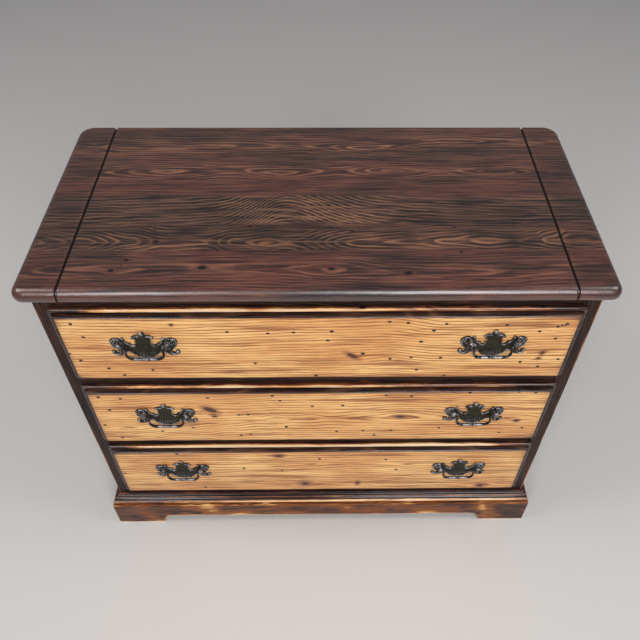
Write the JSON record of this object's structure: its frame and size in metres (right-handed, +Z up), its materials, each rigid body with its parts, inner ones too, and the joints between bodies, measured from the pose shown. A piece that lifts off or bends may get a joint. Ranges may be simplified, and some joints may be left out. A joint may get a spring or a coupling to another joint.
{
  "type": "chest of drawers",
  "caption": "Low pine chest with sliding lipped drawers, moulded bracket plinth, grooved bullnose top and swinging bail pulls on bat-wing backplates.",
  "frame": {"origin": "on the floor, at the middle of the width and depth of the closed chest with its pulls", "axes": "+X to the right seen from the front, +Y to the back, +Z up; the drawers open towards -Y"},
  "size_m": [0.914, 0.4428, 0.76],
  "materials": {
    "stained_pine": "dark walnut stain under satin lacquer, worn on the edges",
    "golden_pine": "clear satin lacquer over distressed natural pine, with dark stained edges",
    "plain_pine": "unfinished planed pine",
    "hardboard": "plain hardboard",
    "dark_bronze": "dark antique patina, satin"
  },
  "bodies": {
    "chest": {"top_board": "stained_pine", "side_left": "stained_pine", "side_right": "stained_pine", "stile_left": "stained_pine", "stile_right": "stained_pine", "top_rail": "stained_pine", "rail_upper": "stained_pine", "rail_lower": "stained_pine", "bottom_rail": "stained_pine", "back_panel": "hardboard", "bottom_panel": "plain_pine", "upper_drawer_guide": "plain_pine", "middle_drawer_guide": "plain_pine", "lower_drawer_guide": "plain_pine", "plinth_front": "stained_pine", "plinth_left": "stained_pine", "plinth_right": "stained_pine", "plinth_back": "plain_pine", "moulding_front": "stained_pine", "moulding_left": "stained_pine", "moulding_right": "stained_pine"},
    "upper_drawer": {"upper_drawer_front": "golden_pine", "upper_drawer_side_left": "plain_pine", "upper_drawer_side_right": "plain_pine", "upper_drawer_back": "plain_pine", "upper_drawer_bottom": "hardboard", "upper_pull_left_backplate": "dark_bronze", "upper_pull_left_post_left": "dark_bronze", "upper_pull_left_post_right": "dark_bronze", "upper_pull_right_backplate": "dark_bronze", "upper_pull_right_post_left": "dark_bronze", "upper_pull_right_post_right": "dark_bronze"},
    "middle_drawer": {"middle_drawer_front": "golden_pine", "middle_drawer_side_left": "plain_pine", "middle_drawer_side_right": "plain_pine", "middle_drawer_back": "plain_pine", "middle_drawer_bottom": "hardboard", "middle_pull_left_backplate": "dark_bronze", "middle_pull_left_post_left": "dark_bronze", "middle_pull_left_post_right": "dark_bronze", "middle_pull_right_backplate": "dark_bronze", "middle_pull_right_post_left": "dark_bronze", "middle_pull_right_post_right": "dark_bronze"},
    "lower_drawer": {"lower_drawer_front": "golden_pine", "lower_drawer_side_left": "plain_pine", "lower_drawer_side_right": "plain_pine", "lower_drawer_back": "plain_pine", "lower_drawer_bottom": "hardboard", "lower_pull_left_backplate": "dark_bronze", "lower_pull_left_post_left": "dark_bronze", "lower_pull_left_post_right": "dark_bronze", "lower_pull_right_backplate": "dark_bronze", "lower_pull_right_post_left": "dark_bronze", "lower_pull_right_post_right": "dark_bronze"},
    "upper_left_bail": {"upper_pull_left_bail": "dark_bronze"},
    "upper_right_bail": {"upper_pull_right_bail": "dark_bronze"},
    "middle_left_bail": {"middle_pull_left_bail": "dark_bronze"},
    "middle_right_bail": {"middle_pull_right_bail": "dark_bronze"},
    "lower_left_bail": {"lower_pull_left_bail": "dark_bronze"},
    "lower_right_bail": {"lower_pull_right_bail": "dark_bronze"}
  },
  "joints": [
    {"name": "upper_drawer_slide", "type": "slide", "parent": "chest", "child": "upper_drawer", "axis": [0, -1, 0], "range_m": [0, 0.3]},
    {"name": "middle_drawer_slide", "type": "slide", "parent": "chest", "child": "middle_drawer", "axis": [0, -1, 0], "range_m": [0, 0.3]},
    {"name": "lower_drawer_slide", "type": "slide", "parent": "chest", "child": "lower_drawer", "axis": [0, -1, 0], "range_m": [0, 0.3]},
    {"name": "upper_left_bail_hinge", "type": "hinge", "parent": "upper_drawer", "child": "upper_left_bail", "pos_m": [-0.2785, -0.2169, 0.64608], "axis": [-1, 0, 0], "range_deg": [-6, 95]},
    {"name": "upper_right_bail_hinge", "type": "hinge", "parent": "upper_drawer", "child": "upper_right_bail", "pos_m": [0.2785, -0.2169, 0.64608], "axis": [-1, 0, 0], "range_deg": [-6, 95]},
    {"name": "middle_left_bail_hinge", "type": "hinge", "parent": "middle_drawer", "child": "middle_left_bail", "pos_m": [-0.2785, -0.2169, 0.44475], "axis": [-1, 0, 0], "range_deg": [-6, 95]},
    {"name": "middle_right_bail_hinge", "type": "hinge", "parent": "middle_drawer", "child": "middle_right_bail", "pos_m": [0.2785, -0.2169, 0.44475], "axis": [-1, 0, 0], "range_deg": [-6, 95]},
    {"name": "lower_left_bail_hinge", "type": "hinge", "parent": "lower_drawer", "child": "lower_left_bail", "pos_m": [-0.2785, -0.2169, 0.24342], "axis": [-1, 0, 0], "range_deg": [-6, 95]},
    {"name": "lower_right_bail_hinge", "type": "hinge", "parent": "lower_drawer", "child": "lower_right_bail", "pos_m": [0.2785, -0.2169, 0.24342], "axis": [-1, 0, 0], "range_deg": [-6, 95]}
  ]
}
